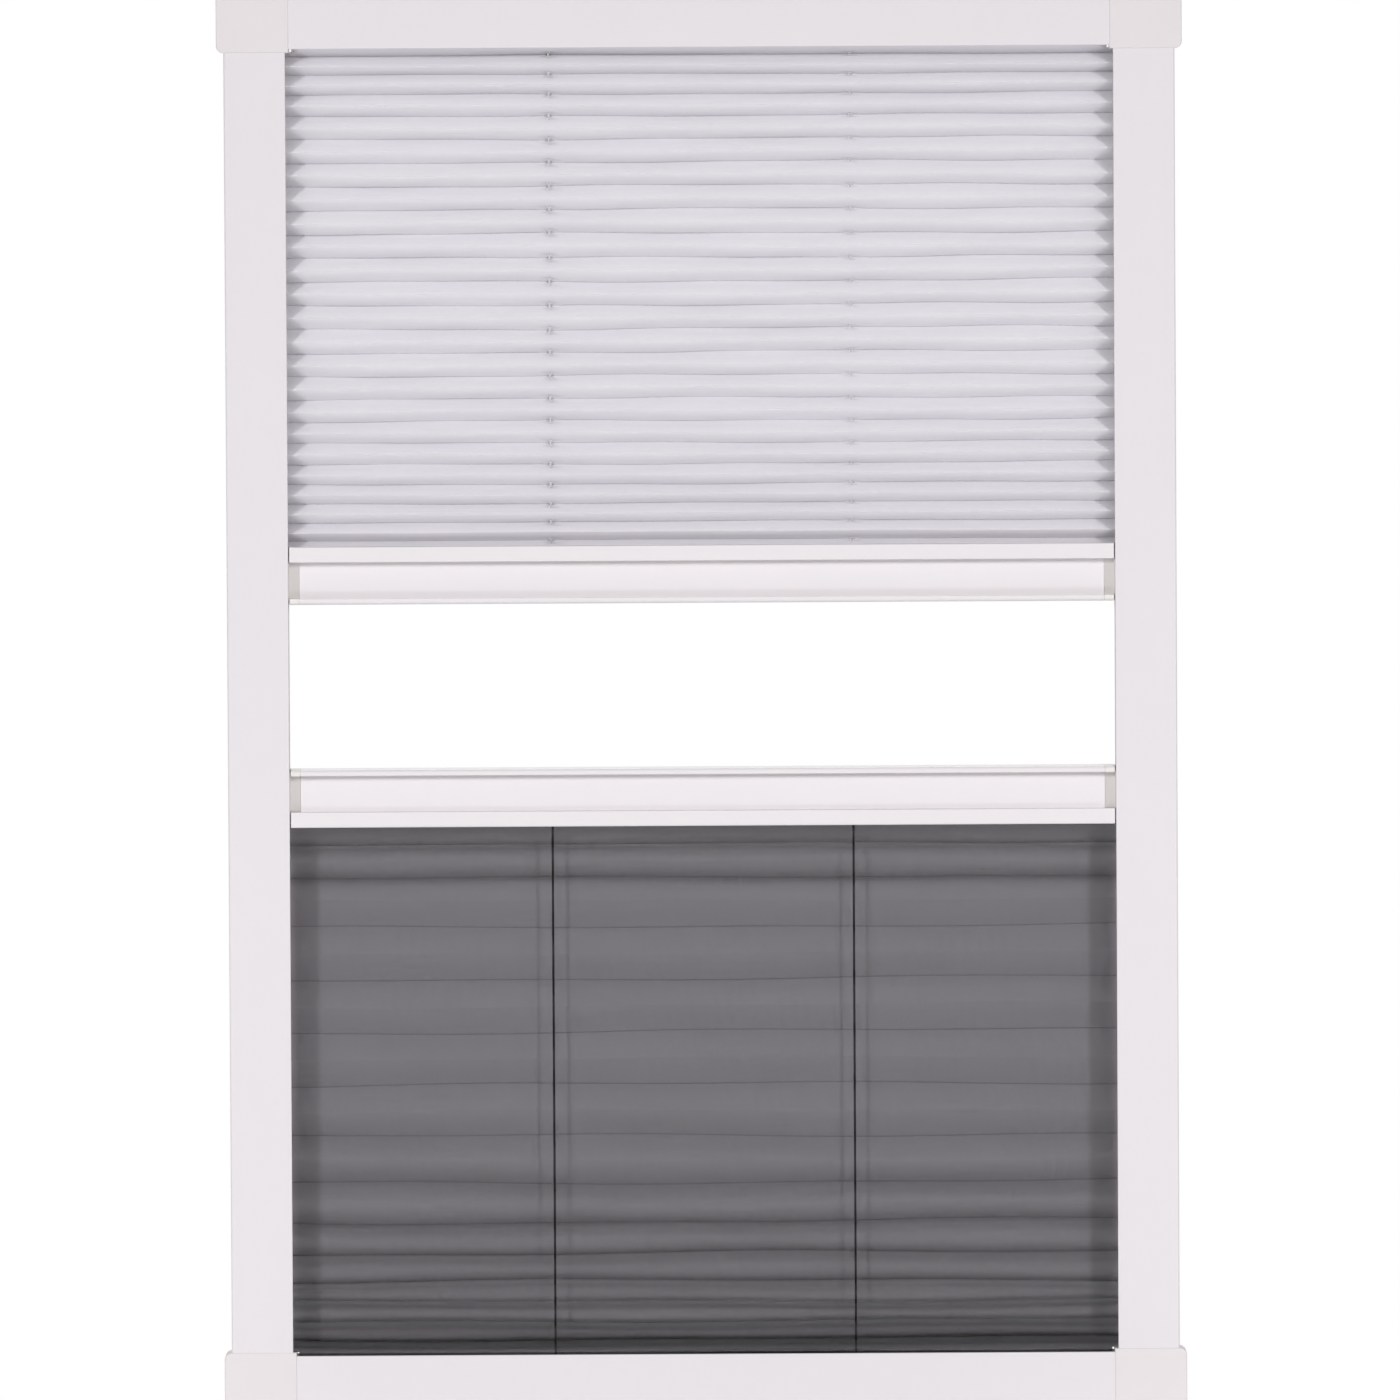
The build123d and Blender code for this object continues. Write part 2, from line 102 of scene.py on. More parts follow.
def powder_coat(name, full, thin):
    """Satin coat: colour between full and thin by a slow noise, orange-peel bump from a 1.2 mm noise."""
    finish, skin = blank_finish(name)
    place = put(finish, "TexCoord", {}, {}).outputs["Object"]
    drift = put(finish, "TexNoise", {}, {"Vector": place, "Scale": 9.0, "Detail": 3.0})
    tone = put(
        finish, "Mix", {"data_type": "RGBA"}, {0: drift.outputs["Fac"], 6: (*full, 1), 7: (*thin, 1)},
    )
    drive(finish, skin.inputs["Base Color"], tone.outputs[2])
    cloud = put(finish, "TexNoise", {}, {"Vector": place, "Scale": 70.0, "Detail": 4.0})
    gloss = put(finish, "MapRange", {}, {"Value": cloud.outputs["Fac"], "To Min": 0.40, "To Max": 0.52})
    drive(finish, skin.inputs["Roughness"], gloss.outputs["Result"])
    peel = put(finish, "TexNoise", {}, {"Vector": place, "Scale": 820.0, "Detail": 2.0})
    relief = put(
        finish, "Bump", {}, {"Height": peel.outputs["Fac"], "Strength": 0.25, "Distance": 0.00004},
    )
    drive(finish, skin.inputs["Normal"], relief.outputs["Normal"])
    skin.inputs["Specular IOR Level"].default_value = 0.35
    return finish


def dress(names, finish):
    """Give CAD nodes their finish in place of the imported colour."""
    for name in names:
        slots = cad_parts[name].data.materials
        slots.clear()
        slots.append(finish)


dress(
    ("top_rail", "bottom_rail", "left_side_rail", "right_side_rail"),
    powder_coat("frame_coat", frame_white, frame_white_thin),
)


# Corner pieces: injection-moulded plastic, a shade warmer than the coat, pressed into the rail ends.
# The mould was spark-eroded, so the faces have a fine even grain and are duller than the coat.

corner_white = (0.792, 0.748, 0.760)
corner_white_worn = (0.774, 0.728, 0.741)


def moulded_plastic(name, main, shade, rough, grain):
    """Moulded plastic: a slow flow mark in the colour, and a spark-eroded grain of a given size as bump."""
    finish, skin = blank_finish(name)
    place = put(finish, "TexCoord", {}, {}).outputs["Object"]
    flow = put(finish, "TexNoise", {}, {"Vector": place, "Scale": 28.0, "Detail": 2.0, "Distortion": 0.6})
    tone = put(
        finish, "Mix", {"data_type": "RGBA"}, {0: flow.outputs["Fac"], 6: (*main, 1), 7: (*shade, 1)},
    )
    drive(finish, skin.inputs["Base Color"], tone.outputs[2])
    spark = put(
        finish, "TexNoise", {}, {"Vector": place, "Scale": 1 / grain, "Detail": 3.0, "Roughness": 0.7},
    )
    gloss = put(
        finish, "MapRange", {},
        {"Value": spark.outputs["Fac"], "To Min": rough - 0.06, "To Max": rough + 0.08},
    )
    drive(finish, skin.inputs["Roughness"], gloss.outputs["Result"])
    relief = put(
        finish, "Bump", {}, {"Height": spark.outputs["Fac"], "Strength": 0.35, "Distance": 0.00004},
    )
    drive(finish, skin.inputs["Normal"], relief.outputs["Normal"])
    skin.inputs["Specular IOR Level"].default_value = 0.30
    return finish


dress(
    ("top_left_corner", "top_right_corner", "bottom_left_corner", "bottom_right_corner"),
    moulded_plastic("corner_plastic", corner_white, corner_white_worn, 0.55, 0.0007),
)


# Brush seals: woven pile strips pushed into the slots of the side rails, front and back.
# Light grey polypropylene tufts stand about 3 mm off a flat backing and touch the guide shoes.

# Painted shade: the tufts are coloured darker towards their roots, where they shade each other.
pile_grey = (0.60, 0.60, 0.61)
pile_grey_shaded_root = (0.40, 0.40, 0.41)
tuft_step = 0.0016
tuft_half = 0.00075
tuft_length = 0.0031
tuft_lean = 0.0004
tuft_columns = (-0.0009, 0.0, 0.0009)


def new_piece(name, points, faces, finish, smooth=False, flat_map=None):
    """A mesh object from arrays of points and faces, with an optional UV place for each point."""
    mesh = bpy.data.meshes.new(name)
    mesh.from_pydata(points.reshape(-1, 3), [], faces)
    mesh.materials.append(finish)
    if flat_map is not None:
        corners = np.zeros(len(mesh.loops), np.int32)
        mesh.loops.foreach_get("vertex_index", corners)
        layer = mesh.uv_layers.new(name="cloth")
        layer.data.foreach_set("uv", flat_map.reshape(-1, 2)[corners].ravel())
    mesh.polygons.foreach_set("use_smooth", np.full(len(mesh.polygons), smooth))
    mesh.update()
    piece = bpy.data.objects.new(name, mesh)
    bpy.context.scene.collection.objects.link(piece)
    return piece


def pile_finish(name, tip, root):
    """Pile: the colour goes from root to tip with the height kept in UV, streaked from tuft to tuft."""
    finish, skin = blank_finish(name)
    place = put(finish, "UVMap", {"uv_map": "cloth"}, {}).outputs["UV"]
    height = put(finish, "SeparateXYZ", {}, {"Vector": place})
    tuft = put(finish, "TexNoise", {}, {"Vector": place, "Scale": 600.0, "Detail": 1.0})
    mixed = put(
        finish, "Math", {"operation": "MULTIPLY_ADD"},
        {0: tuft.outputs["Fac"], 1: 0.5, 2: height.outputs["Y"]},
    )
    # Painted shade: the colour darkens from the tip down to the root of each tuft.
    tone = put(
        finish, "Mix", {"data_type": "RGBA"}, {0: mixed.outputs[0], 6: (*root, 1), 7: (*tip, 1)},
    )
    drive(finish, skin.inputs["Base Color"], tone.outputs[2])
    skin.inputs["Roughness"].default_value = 0.8
    skin.inputs["Sheen Weight"].default_value = 0.3
    return finish


def tufted_seal(side, low, high):
    """Tufts of one side rail: each is a four-sided taper from the backing to the tip.

    A row of tufts every tuft_step along z, three across; the tips lean by up to tuft_lean and vary in
    height by a tenth. The two seals face each other, so the pile runs inwards from low y and from high y.
    """
    low, high = np.array(low), np.array(high)
    count = int((high[2] - low[2]) / tuft_step)
    middle = (low[0] + high[0]) / 2
    z = low[2] + (np.arange(count) + 0.5) * (high[2] - low[2]) / count
    sway = np.random.default_rng(7 + side).uniform(-1, 1, (2, count, len(tuft_columns), 3))
    ring = np.array(((-1, -1), (1, -1), (1, 1), (-1, 1))) * tuft_half
    points, faces, flat = [], [], []
    for seal, (foot, inward) in enumerate(((low[1], 1), (high[1], -1))):
        base = np.zeros((count, len(tuft_columns), 2, 4, 3))
        base[..., 0] = middle + np.array(tuft_columns)[None, :, None, None]
        base[..., 1] = foot
        base[..., 2] = z[:, None, None, None]
        base[..., 0, :, 0] += ring[:, 0] * 0.6
        base[..., 0, :, 2] += ring[:, 1]
        base[..., 1, :, 0] += ring[:, 0] * 0.35 + sway[seal, ..., 0, None] * tuft_lean * 0.4
        base[..., 1, :, 2] += ring[:, 1] * 0.6 + sway[seal, ..., 1, None] * tuft_lean
        base[..., 1, :, 1] += inward * tuft_length * (0.95 + 0.05 * sway[seal, ..., 2, None])
        points.append(base.reshape(-1, 3))
        start = np.arange(count * len(tuft_columns))[:, None, None] * 8
        turn = np.arange(4)
        walls = np.stack((turn, (turn + 1) % 4, (turn + 1) % 4 + 4, turn + 4), axis=1)[None]
        if inward < 0:
            walls = walls[..., ::-1]
        lid = np.array((4, 5, 6, 7) if inward > 0 else (7, 6, 5, 4))[None, None]
        offset = seal * count * len(tuft_columns) * 8
        faces.append((start + np.concatenate((walls, lid), axis=1) + offset).reshape(-1, 4))
        share = np.zeros((count, len(tuft_columns), 2, 4, 2))
        share[..., 0] = z[:, None, None, None]
        share[..., 1, :, 1] = 0.8
        flat.append(share.reshape(-1, 2))
    return np.concatenate(points), np.concatenate(faces)[:, ::-1], np.concatenate(flat)


seal_pile = pile_finish("brush_pile", pile_grey, pile_grey_shaded_root)
for side, side_name in ((-1, "left"), (1, "right")):
    seal_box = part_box(f"{side_name}_brush_seals")
    points, faces, flat = tufted_seal(side, *seal_box)
    seals = new_piece(f"{side_name}_pile_seals", points, faces, seal_pile, flat_map=flat)
    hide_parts(f"{side_name}_brush_seals")
    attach(seals, "frame")


# Fabric strips and cord anchors: plain white plastic, hidden in the rails, the handles and the corners.
# The strips are slotted bars that hold the fabric ends, and the anchors are turned plugs for the cords.

strip_white = (0.75, 0.75, 0.75)
strip_white_shade = (0.71, 0.71, 0.72)
dress(
    (
        "blind_top_strip", "mesh_bottom_strip", "blind_bottom_strip", "mesh_top_strip",
        "blind_left_cord_anchor", "blind_right_cord_anchor",
        "mesh_left_cord_anchor", "mesh_right_cord_anchor",
    ),
    moulded_plastic("strip_plastic", strip_white, strip_white_shade, 0.5, 0.0011),
)


# Handle rails: an aluminium extrusion with a slotted hood on the fabric, a grip recess and a thin lip.
# They have the same white coat as the frame, from a fresher and slightly brighter batch.

handle_white = (0.830, 0.796, 0.815)
handle_white_thin = (0.814, 0.779, 0.799)
dress(
    ("blind_handle_rail", "mesh_handle_rail"),
    powder_coat("handle_coat", handle_white, handle_white_thin),
)


# Handle end caps: white moulded plastic, each with the shoe that runs in the side rail.
# A plug holds the cap in the hollow back of the handle, and the cords pass through its bores.

cap_white = (0.84, 0.815, 0.80)
cap_white_shade = (0.81, 0.785, 0.77)
dress(
    (
        "blind_handle_left_cap", "blind_handle_right_cap", "mesh_handle_left_cap", "mesh_handle_right_cap",
    ),
    moulded_plastic("cap_plastic", cap_white, cap_white_shade, 0.5, 0.0009),
)


# Sun blind: white polyester, heat-set into pleats with 20 mm panels and slit where the two cords pass.
# It hangs from a strip in the top rail, and its lower end is held in the handle rail.

blind_white = (0.952, 0.932, 0.972)
blind_white_thin = (0.928, 0.908, 0.950)
# Painted shade and light on the blind's pleats: the colour is dimmed to this share near the back folds and
# is full at the light band near the front folds, sharpened by this power.
painted_valley_shade = 0.830
painted_light_band_place = 0.255
painted_light_band_sharpness = 2.0
mid_y = 0.0005
blind_top, blind_bottom = 1.165, 0.730
blind_panel = 0.020
blind_thickness = 0.00035
blind_tails = (0.0035, 0.0051)
blind_drift = 0.0012
blind_open_shares = (
    0.41, 0.40, 0.48, 0.49, 0.50, 0.50, 0.49, 0.49, 0.47, 0.45, 0.40, 0.38,
)
fabric_half = 0.362
tail_half = 0.338
unshrunk_half = 0.30
corner_gap_z = (0.061, 1.139)
fabric_column_count = 74
cord_x = 0.125
slit_half = 0.0013
blind_cord_depths = (0.0055, 0.0075)
cloth_thread_wave = 15700.0


def pleat_levels(top, bottom, panel, open_shares):
    """Heights where each pleat starts: the openness along the fall, scaled so that the pleats fill it.

    The openness is straight between the shares, each of which stands for an equal part of the fall.
    """
    count = int(np.ceil((top - bottom) / (2 * panel * np.mean(open_shares))))
    middles = (np.arange(len(open_shares)) + 0.5) / len(open_shares)
    pitch = np.interp((np.arange(count) + 0.5) / count, middles, open_shares)
    return top - (top - bottom) * np.concatenate(([0.0], np.cumsum(pitch / pitch.sum())))


def pleat_rows(levels, panel, down, up, bow):
    """Depth, height and pleat number of each row of a pleated sheet, from the top down.

    A row stands at a swing t between 1, the front fold, and -1, the back fold. Its depth is t times half
    the fold depth h, and it lies u = ((1 - t) / 2) ** (1 / n) / 2 of the pitch p from the front fold, with
    n = 1 + bow * (1 - p / (2 * panel)): straight panels for a bow of 0, and panels that belly forward and
    pinch the back fold for more. A few steps of correction find the h that keeps the panel's length.
    Each pleat runs from its middle out to the front fold, a quarter of the pitch down, back along down to
    the back fold, and out again along up towards the next front fold.
    """
    pitch = (levels[:-1] - levels[1:])[:, None]
    power = 1 + bow * (1 - pitch / (2 * panel))
    half_depth = np.sqrt(panel**2 - (pitch / 2) ** 2) / 2
    steps = np.linspace(0, 1, 65)
    for correction in range(8):
        run = np.hypot(np.diff(steps) * pitch / 2, 2 * half_depth * np.diff(steps**power)).sum(axis=1)
        half_depth = half_depth - (run[:, None] - panel) / 2
    first = np.array(((0.0, 0.45, 0.80, 0.94),))
    swings = (first, down(half_depth), up(half_depth))
    y, z, number = [], [], []
    for swing, front_fold, way in zip(swings, (0.25, 0.25, 1.25), (-1, 1, -1)):
        swing = np.broadcast_to(swing, (len(pitch), swing.shape[1]))
        share = front_fold + way * ((1 - swing) / 2) ** (1 / power) / 2
        y.append(mid_y - half_depth * swing)
        z.append(np.minimum(levels[:-1, None] - pitch * share, levels[0]))
        number.append(np.arange(len(pitch))[:, None] + share)
    ends = (mid_y, levels[-1], float(len(pitch)))
    return [
        np.append(np.concatenate(rows, axis=1).ravel(), end) for rows, end in zip((y, z, number), ends)
    ]


def pleated_sheet(name, finish, levels, rows, tails, columns, wander, slits, thickness):
    """A pleated sheet over columns in x and rows down the fall, narrowed beside the corners.

    The rows get a straight tail at each end. wander(x, number) moves the folds up and down, and fades out
    towards both ends with the root of a half sine. Faces inside a slit are left out. The UV place is x and
    the length of cloth down from the top, in metres, and the attribute "pleat" is the pleat number.
    """
    y, z, number = rows
    y = np.concatenate(([mid_y], y, [mid_y]))
    z = np.concatenate(([levels[0] + tails[0]], z, [levels[-1] - tails[1]]))
    number = np.concatenate(([0.0], number, [number[-1]]))
    fall = np.concatenate(([0.0], np.cumsum(np.hypot(np.diff(y), np.diff(z)))))
    fade = np.sqrt(np.clip(np.sin(np.pi * number / number[-1]), 0, 1))
    limit = np.where((z > corner_gap_z[1]) | (z < corner_gap_z[0]), tail_half, fabric_half)
    edge = np.clip(np.abs(columns) - unshrunk_half, 0, None)
    spread = (limit[:, None] - unshrunk_half) / (fabric_half - unshrunk_half)
    x = np.sign(columns) * (np.minimum(np.abs(columns), unshrunk_half) + edge * spread)
    points = np.stack(
        (x, np.broadcast_to(y[:, None], x.shape), z[:, None] + fade[:, None] * wander(x, number[:, None])),
        axis=2,
    )
    flat = np.stack((x, np.broadcast_to(fall[:, None], x.shape)), axis=2)
    index = np.arange(x.size).reshape(x.shape)
    quads = np.stack((index[:-1, :-1], index[1:, :-1], index[1:, 1:], index[:-1, 1:]), axis=2)
    quads = quads.reshape(-1, 4)
    centre = points.reshape(-1, 3)[quads].mean(axis=1)
    cut = np.zeros(len(quads), bool)
    for slit_x, slit_y in slits:
        cut |= (np.abs(centre[:, 0] - slit_x) < slit_half) & (np.abs(centre[:, 1] - slit_y) < slit_half)
    sheet = new_piece(name, points, quads[~cut], finish, smooth=True, flat_map=flat)
    ends = np.zeros(2 * len(sheet.data.edges), np.int32)
    sheet.data.edges.foreach_get("vertices", ends)
    along = np.diff(ends.reshape(-1, 2) // x.shape[1], axis=1)[:, 0] == 0
    turning = np.concatenate(([False], np.diff(np.sign(np.diff(y))) != 0, [False]))
    sharp = sheet.data.attributes.new("sharp_edge", "BOOLEAN", "EDGE")
    sharp.data.foreach_set("value", along & turning[ends[::2] // x.shape[1]])
    pleat = sheet.data.attributes.new("pleat", "FLOAT", "POINT")
    pleat.data.foreach_set("value", np.broadcast_to(number[:, None], x.shape).astype(np.float32).ravel())
    wall = sheet.modifiers.new("thickness", "SOLIDIFY")
    wall.thickness = thickness
    wall.offset = 0
    return sheet, float(fall[-1])


def hang_between(piece):
    """Bake a sheet's or cord's transform and read its point heights; the heights are not used further."""
    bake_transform(piece)
    height = np.zeros(len(piece.data.vertices) * 3, np.float32)
    piece.data.vertices.foreach_get("co", height)


def woven_cloth(name, full, thin):
    """Fine plain weave: sine threads about 0.4 mm apart as bump, with slubs along the weft.

    Painted light and shade of the pleats: the colour follows the place in the pleat, a cosine wave of the
    pleat number, sharpened by a power, from the valley share near the back folds up to full at the light
    band's place near the front folds.
    """
    finish, skin = blank_finish(name)
    place = put(finish, "UVMap", {"uv_map": "cloth"}, {}).outputs["UV"]
    across = put(finish, "Mapping", {}, {"Vector": place, "Scale": (14.0, 900.0, 1.0)})
    slub = put(finish, "TexNoise", {}, {"Vector": across.outputs["Vector"], "Scale": 1.0, "Detail": 3.0})
    tone = put(
        finish, "Mix", {"data_type": "RGBA"}, {0: slub.outputs["Fac"], 6: (*full, 1), 7: (*thin, 1)},
    )
    # Painted light and shade: a cosine wave over the pleat number dims the colour towards the back folds.
    pleat = put(finish, "Attribute", {"attribute_name": "pleat"}, {})
    angle = put(
        finish, "Math", {"operation": "MULTIPLY_ADD"},
        {0: pleat.outputs["Fac"], 1: 2 * np.pi, 2: -2 * np.pi * painted_light_band_place},
    )
    wave = put(finish, "Math", {"operation": "COSINE"}, {0: angle.outputs[0]})
    share = put(finish, "MapRange", {}, {"Value": wave.outputs[0], "From Min": -1.0})
    band = put(
        finish, "Math", {"operation": "POWER"}, {0: share.outputs["Result"], 1: painted_light_band_sharpness},
    )
    light = put(finish, "MapRange", {}, {"Value": band.outputs[0], "To Min": painted_valley_shade})
    shade = put(
        finish, "VectorMath", {"operation": "SCALE"},
        {0: tone.outputs[2], "Scale": light.outputs["Result"]},
    )
    drive(finish, skin.inputs["Base Color"], shade.outputs["Vector"])
    axes = put(finish, "SeparateXYZ", {}, {"Vector": place})
    threads = []
    for axis in ("X", "Y"):
        along = put(
            finish, "Math", {"operation": "MULTIPLY"}, {0: axes.outputs[axis], 1: cloth_thread_wave},
        )
        threads.append(put(finish, "Math", {"operation": "SINE"}, {0: along.outputs[0]}).outputs[0])
    weave = put(finish, "Math", {"operation": "MULTIPLY"}, {0: threads[0], 1: threads[1]})
    relief = put(finish, "Bump", {}, {"Height": weave.outputs[0], "Strength": 0.15, "Distance": 0.00006})
    drive(finish, skin.inputs["Normal"], relief.outputs["Normal"])
    skin.inputs["Roughness"].default_value = 0.75
    skin.inputs["Specular IOR Level"].default_value = 0.25
    return finish


def blind_down(half_depth):
    """Swings from the front fold to the back one, with a row at each edge of the cord slits."""
    slit_rows = [
        -(depth - mid_y + edge) / half_depth
        for depth in blind_cord_depths
        for edge in (-slit_half, slit_half)
    ]
    plain = [np.full_like(half_depth, swing) for swing in (1.0, 0.95, 0.75, 0.35, 0.0)]
    falling = -np.sort(-np.concatenate(slit_rows, axis=1), axis=1)
    return np.concatenate((np.concatenate(plain, axis=1), falling), axis=1)


def blind_up(half_depth):
    """Swings from the back fold towards the middle, through the same slit rows."""
    slit_rows = blind_down(half_depth)[:, :4:-1]
    return np.concatenate((np.full_like(half_depth, -1.0), slit_rows), axis=1)


def blind_wander(x, number):
    """Up and down drift of the blind's folds: three waves along x whose phase turns from pleat to pleat."""
    return blind_drift * (
        0.5 * np.sin(2 * np.pi * (x / 0.61 + 0.13 * number) + 1.0)
        + 0.35 * np.sin(2 * np.pi * (x / 0.27 - 0.37 * number) + 2.2)
        + 0.25 * np.sin(2 * np.pi * (x / 0.145 + 0.61 * number) + 0.4)
    )


fabric_columns = np.linspace(-fabric_half, fabric_half, fabric_column_count)
slit_columns = np.array([side * cord_x + edge for side in (-1, 1) for edge in (-slit_half, slit_half)])
blind_levels = pleat_levels(blind_top, blind_bottom, blind_panel, blind_open_shares)
blind, blind_length = pleated_sheet(
    "sun_blind",
    woven_cloth("blind_cloth", blind_white, blind_white_thin),
    blind_levels,
    pleat_rows(blind_levels, blind_panel, blind_down, blind_up, bow=0.0),
    blind_tails,
    np.unique(np.concatenate((fabric_columns, slit_columns))),
    blind_wander,
    ((-cord_x, blind_cord_depths[0]), (cord_x, blind_cord_depths[1])),
    blind_thickness,
)
hang_between(blind)
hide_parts("blind_fabric")


# Insect mesh: black polyester gauze, heat-set into pleats with 22.9 mm panels.
# Pulled up by its handle, it is almost flat in the upper half and lies crowded on the bottom rail.

mesh_black = (0.020, 0.020, 0.022)
mesh_black_dusty = (0.034, 0.034, 0.036)
mesh_top, mesh_bottom = 0.4967, 0.035
mesh_panel = 0.0229
mesh_thread = 0.000134
mesh_thickness = 0.00003
mesh_pitch = 0.00040
mesh_tails = (0.0051, 0.0035)
mesh_bow = 3.5
mesh_drift = 0.0022
# Painted shade: the gauze's threads are drawn wider, so it looks darker, in the back-fold creases and in the
# lowest pleats.
crease_shade_share = 0.018
crease_shade_widening = 1.5
foot_shade_pleats = (12.5, 16.0)
foot_shade_widening = 2.3
mesh_open_shares = (
    0.47, 0.65, 0.97, 0.95, 0.97, 0.96, 0.93, 0.83, 0.69, 0.55, 0.49, 0.34, 0.36, 0.33, 0.32, 0.31,
)


def gauze(name, full, dusty):
    """Open weave: a thread within half its width of each multiple of the pitch, and clear between.

    It counts along x and along the length of cloth. The thread width drifts along the weft, which shows as
    faint bands. As painted shade, the threads are drawn wider, which darkens the gauze, in the crease of a
    back fold, where the pleat number ends in 0.75, and in the lowest pleats, which lie on the rail under the
    rest.
    """
    finish, skin = blank_finish(name)
    place = put(finish, "UVMap", {"uv_map": "cloth"}, {}).outputs["UV"]
    stretched = put(finish, "Mapping", {}, {"Vector": place, "Scale": (6.0, 260.0, 1.0)})
    drift = put(
        finish, "TexNoise", {}, {"Vector": stretched.outputs["Vector"], "Scale": 1.0, "Detail": 3.0},
    )
    half = put(
        finish, "MapRange", {},
        {"Value": drift.outputs["Fac"], "To Min": mesh_thread * 0.46, "To Max": mesh_thread * 0.54},
    )
    pleat = put(finish, "Attribute", {"attribute_name": "pleat"}, {})
    shifted = put(finish, "Math", {"operation": "ADD"}, {0: pleat.outputs["Fac"], 1: 0.25})
    from_fold = put(finish, "Math", {"operation": "PINGPONG"}, {0: shifted.outputs[0], 1: 0.5})
    # Painted shade: wider threads darken the crease of each back fold and the lowest, crowded pleats.
    crease_shade = put(
        finish, "MapRange", {},
        {"Value": from_fold.outputs[0], "From Max": crease_shade_share, "To Min": crease_shade_widening, "To Max": 1.0},
    )
    foot_shade = put(
        finish, "MapRange", {},
        {
            "Value": pleat.outputs["Fac"], "From Min": foot_shade_pleats[0], "From Max": foot_shade_pleats[1],
            "To Min": 1.0, "To Max": foot_shade_widening,
        },
    )
    for wider in (crease_shade, foot_shade):
        half = put(
            finish, "Math", {"operation": "MULTIPLY"}, {0: half.outputs[0], 1: wider.outputs["Result"]},
        )
    axes = put(finish, "SeparateXYZ", {}, {"Vector": place})
    threads = []
    for axis in ("X", "Y"):
        away = put(finish, "Math", {"operation": "PINGPONG"}, {0: axes.outputs[axis], 1: mesh_pitch / 2})
        threads.append(
            put(
                finish, "Math", {"operation": "LESS_THAN"}, {0: away.outputs[0], 1: half.outputs[0]},
            ).outputs[0]
        )
    weave = put(finish, "Math", {"operation": "MAXIMUM"}, {0: threads[0], 1: threads[1]})
    drive(finish, skin.inputs["Alpha"], weave.outputs[0])
    tone = put(
        finish, "Mix", {"data_type": "RGBA"}, {0: drift.outputs["Fac"], 6: (*full, 1), 7: (*dusty, 1)},
    )
    drive(finish, skin.inputs["Base Color"], tone.outputs[2])
    skin.inputs["Roughness"].default_value = 0.6
    skin.inputs["Specular IOR Level"].default_value = 0.3
    return finish


def mesh_down(half_depth):
    """Swings from the front fold to the back one."""
    return np.array(((1.0, 0.97, 0.85, 0.5, 0.0, -0.5, -0.85, -0.97),))


def mesh_up(half_depth):
    """Swings from the back fold towards the middle."""
    return np.array(((-1.0, -0.97, -0.85, -0.45),))


def mesh_wander(x, number):
    """Up and down drift of the mesh's folds: two waves along x whose phase turns from pleat to pleat."""
    return mesh_drift * (
        0.6 * np.sin(2 * np.pi * (x / 0.83 + 0.21 * number) + 0.6)
        + 0.4 * np.sin(2 * np.pi * (x / 0.34 - 0.43 * number) + 1.9)
    )


mesh_levels = pleat_levels(mesh_top, mesh_bottom, mesh_panel, mesh_open_shares)
mesh, mesh_length = pleated_sheet(
    "insect_gauze",
    gauze("mesh_cloth", mesh_black, mesh_black_dusty),
    mesh_levels,
    pleat_rows(mesh_levels, mesh_panel, mesh_down, mesh_up, bow=mesh_bow),
    mesh_tails,
    fabric_columns,
    mesh_wander,
    (),
    mesh_thickness,
)
hang_between(mesh)
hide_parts("insect_mesh")


# Cords: braided polyester, just under 2 mm thick, white for the blind and black for the mesh.
# Each pair runs taut through the pleats, crosses inside its handle and runs on in the side rails.

# Painted shade: the blind's white cord is coloured light grey, as if in the shade of the pleats.
cord_white_shaded = (0.66, 0.65, 0.67)
cord_white_groove_shade_and_flow = (0.52, 0.51, 0.53)
cord_black = (0.016, 0.016, 0.017)
cord_black_groove_shade_and_flow = (0.008, 0.008, 0.009)
cord_radius = 0.0009
cord_sides = 10
cord_rows = 60
braid_turns = 4.0
braid_wave = 3400.0
side_cord_x = 0.367
mesh_cord_depths = (0.0005, 0.0025)
cord_end_z = (0.028, 1.172)
anchor_z = (0.062, 1.138)
blind_handle_foot, mesh_handle_head = 0.682, 0.5447


def braid(name, full, groove):
    """Braid: two crossed sets of diagonal ridges on the angle and the length kept in UV."""
    finish, skin = blank_finish(name)
    place = put(finish, "UVMap", {"uv_map": "cloth"}, {}).outputs["UV"]
    axes = put(finish, "SeparateXYZ", {}, {"Vector": place})
    ridges = []
    for turn in (braid_turns, -braid_turns):
        angle = put(finish, "Math", {"operation": "MULTIPLY"}, {0: axes.outputs["X"], 1: turn * 2 * np.pi})
        run = put(
            finish, "Math", {"operation": "MULTIPLY_ADD"},
            {0: axes.outputs["Y"], 1: braid_wave, 2: angle.outputs[0]},
        )
        ridges.append(put(finish, "Math", {"operation": "SINE"}, {0: run.outputs[0]}).outputs[0])
    top = put(finish, "Math", {"operation": "MAXIMUM"}, {0: ridges[0], 1: ridges[1]})
    # Painted shade: the grooves between the ridges get the darker colour.
    shade = put(
        finish, "MapRange", {}, {"Value": top.outputs[0], "From Min": -0.6, "From Max": 0.6},
    )
    tone = put(
        finish, "Mix", {"data_type": "RGBA"}, {0: shade.outputs["Result"], 6: (*groove, 1), 7: (*full, 1)},
    )
    drive(finish, skin.inputs["Base Color"], tone.outputs[2])
    relief = put(finish, "Bump", {}, {"Height": top.outputs[0], "Strength": 0.5, "Distance": 0.0001})
    drive(finish, skin.inputs["Normal"], relief.outputs["Normal"])
    skin.inputs["Roughness"].default_value = 0.8
    skin.inputs["Specular IOR Level"].default_value = 0.08
    return finish


